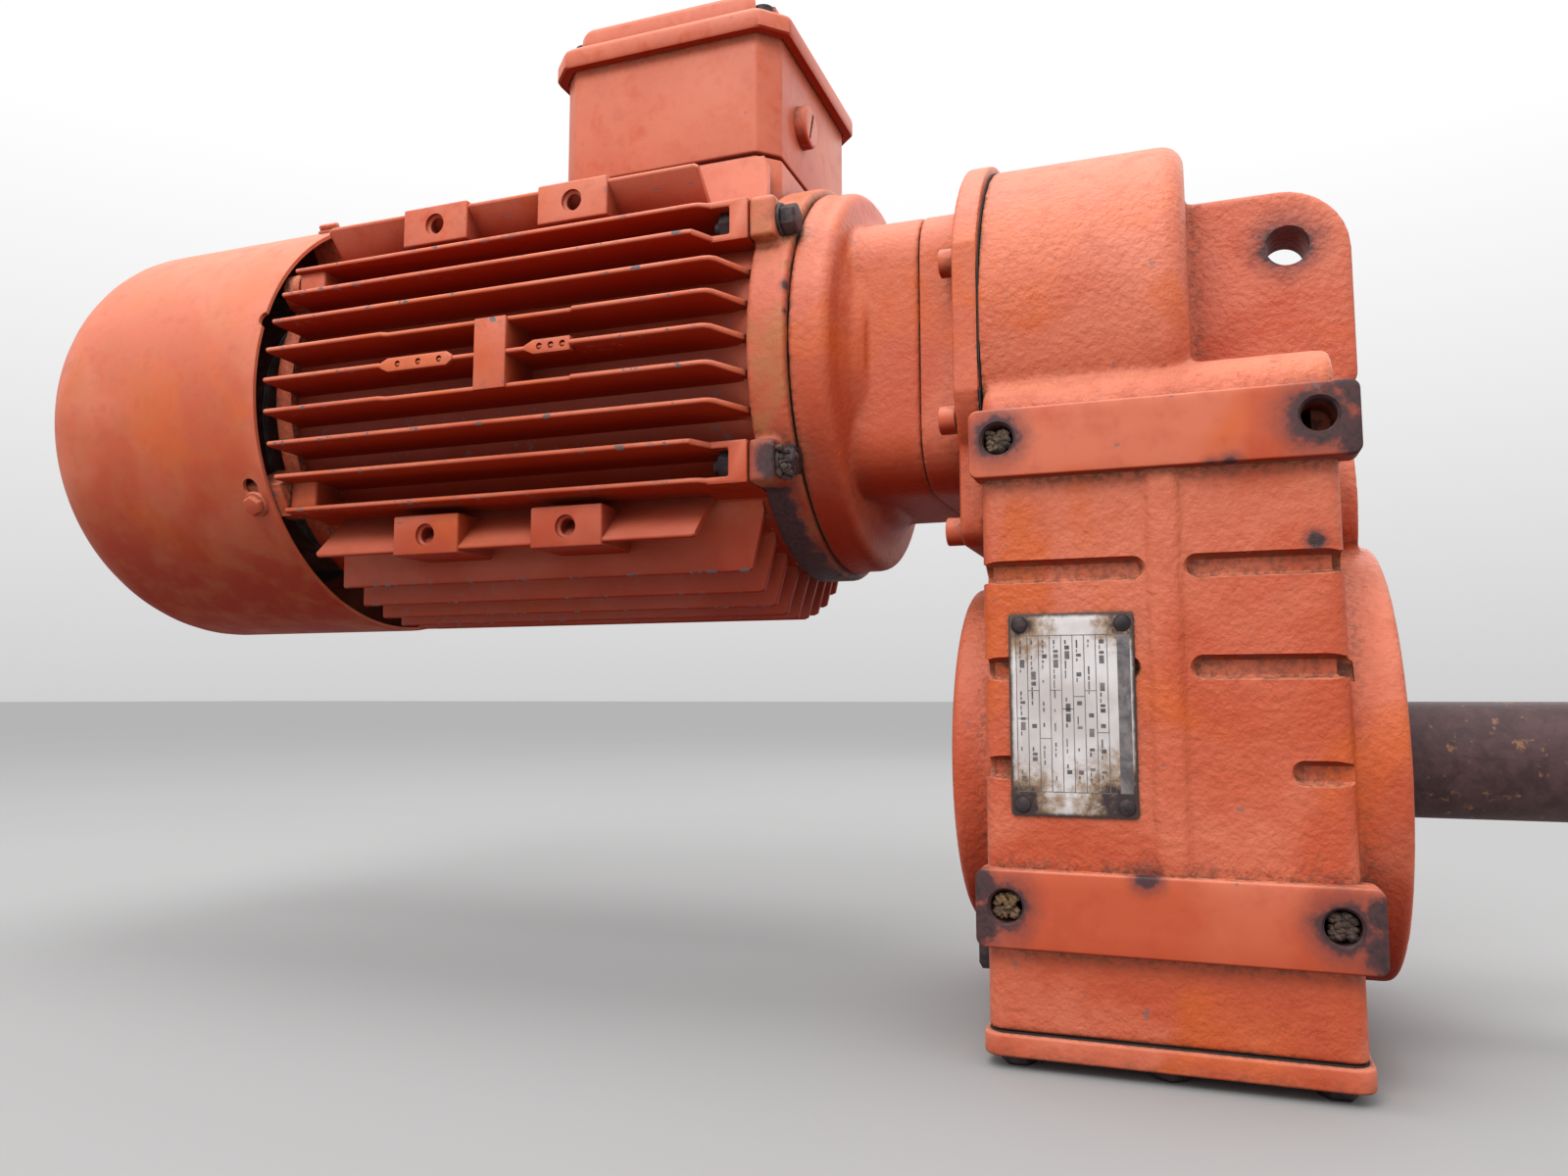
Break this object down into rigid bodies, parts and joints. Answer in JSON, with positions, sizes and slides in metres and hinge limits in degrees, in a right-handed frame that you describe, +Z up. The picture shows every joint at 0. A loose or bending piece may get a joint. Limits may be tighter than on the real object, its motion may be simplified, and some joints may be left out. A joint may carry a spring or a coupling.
{
  "type": "gearmotor",
  "caption": "Parallel-shaft gearmotor: finned brake motor over a flat cast gear unit, with a keyed output shaft, a torque-arm eye and tapped foot straps.",
  "frame": {"origin": "output shaft axis at the face of the output boss", "axes": "+X along the output shaft, away from the motor; +Z up from the output shaft to the motor; +Y to the back"},
  "size_m": [0.656, 0.196, 0.4015],
  "materials": {
    "orange_cast_paint": "weathered orange paint on cast iron",
    "orange_sheet_paint": "weathered orange paint on sheet and die-cast metal",
    "rusted_steel": "dark purple-brown rust on turned steel",
    "black_bolts": "blackened and rusted",
    "gear_steel": "ground and oiled",
    "bearing_steel": "polished",
    "laminations": "stacked sheet",
    "copper_winding": "varnished copper",
    "black_rubber": "matt",
    "fan_plastic": "moulded",
    "brake_lining": "fibre lining",
    "nameplate_metal": "brushed, brown stains at its corners",
    "board_plastic": "moulded",
    "brass_studs": "satin"
  },
  "bodies": {
    "gearcase": {"gear_housing": "orange_cast_paint", "bottom_cover": "orange_cast_paint", "bottom_cover_gasket": "black_rubber", "bottom_cover_screws": "black_bolts", "input_cover": "orange_cast_paint", "input_cover_gasket": "black_rubber", "input_cover_screws": "black_bolts", "oil_plugs": "black_bolts", "output_seals": "black_rubber", "input_seal": "black_rubber", "output_bearing_outer_rings": "bearing_steel", "layshaft_bearing_outer_rings": "bearing_steel", "rotor_bearing_outer_rings": "bearing_steel", "adapter_flange": "orange_cast_paint", "adapter_screws": "black_bolts", "drive_end_shield": "orange_cast_paint", "shield_bolts": "black_bolts", "shield_nuts": "black_bolts", "motor_frame": "orange_cast_paint", "stator_core": "laminations", "stator_windings": "copper_winding", "rear_end_shield": "orange_cast_paint", "brake_friction_plate": "gear_steel", "brake_magnet": "gear_steel", "brake_springs": "gear_steel", "brake_screws": "black_bolts", "fan_cover": "orange_sheet_paint", "fan_cover_screws": "black_bolts", "terminal_box": "orange_sheet_paint", "terminal_box_gasket": "black_rubber", "terminal_box_lid": "orange_sheet_paint", "lid_screws": "black_bolts", "terminal_board": "board_plastic", "terminal_studs": "brass_studs", "conduit_plugs": "orange_sheet_paint", "nameplate": "nameplate_metal", "nameplate_rivets": "black_bolts"},
    "rotor": {"rotor_shaft": "gear_steel", "rotor_core": "laminations", "input_pinion": "gear_steel", "rotor_bearing_inner_rings": "bearing_steel", "brake_hub": "gear_steel", "brake_disc": "brake_lining", "fan": "fan_plastic"},
    "layshaft": {"layshaft": "gear_steel", "layshaft_gear": "gear_steel", "layshaft_key": "gear_steel", "layshaft_bearing_inner_rings": "bearing_steel"},
    "output": {"hollow_shaft": "rusted_steel", "output_gear": "gear_steel", "output_gear_key": "gear_steel", "output_bearing_inner_rings": "bearing_steel", "output_shaft": "rusted_steel", "output_shaft_key": "rusted_steel", "shaft_retainer": "rusted_steel"},
    "brake_armature": {"brake_armature": "gear_steel"},
    "rotor_balls": {"rotor_bearing_balls": "bearing_steel"},
    "layshaft_balls": {"layshaft_bearing_balls": "bearing_steel"},
    "output_balls": {"output_bearing_balls": "bearing_steel"}
  },
  "joints": [
    {"name": "rotor_spin", "type": "hinge", "parent": "gearcase", "child": "rotor", "pos_m": [0, 0, 0.15188], "axis": [1, 0, 0], "continuous": true},
    {"name": "layshaft_spin", "type": "hinge", "parent": "gearcase", "child": "layshaft", "pos_m": [0, 0, 0.08887], "axis": [1, 0, 0], "continuous": true},
    {"name": "output_spin", "type": "hinge", "parent": "gearcase", "child": "output", "pos_m": [0, 0, 0], "axis": [1, 0, 0], "continuous": true},
    {"name": "rotor_balls_roll", "type": "hinge", "parent": "gearcase", "child": "rotor_balls", "pos_m": [0, 0, 0.15188], "axis": [1, 0, 0], "continuous": true},
    {"name": "layshaft_balls_roll", "type": "hinge", "parent": "gearcase", "child": "layshaft_balls", "pos_m": [0, 0, 0.08887], "axis": [1, 0, 0], "continuous": true},
    {"name": "output_balls_roll", "type": "hinge", "parent": "gearcase", "child": "output_balls", "pos_m": [0, 0, 0], "axis": [1, 0, 0], "continuous": true},
    {"name": "armature_release", "type": "slide", "parent": "gearcase", "child": "brake_armature", "axis": [1, 0, 0], "range_m": [-0.0004, 0]}
  ],
  "couplings": [
    {"joint": "layshaft_spin", "follows": "rotor_spin", "ratio": -0.25373},
    {"joint": "output_spin", "follows": "rotor_spin", "ratio": 0.069571},
    {"joint": "rotor_balls_roll", "follows": "rotor_spin", "ratio": 0.39674},
    {"joint": "layshaft_balls_roll", "follows": "rotor_spin", "ratio": -0.096948},
    {"joint": "output_balls_roll", "follows": "rotor_spin", "ratio": 0.029508}
  ]
}
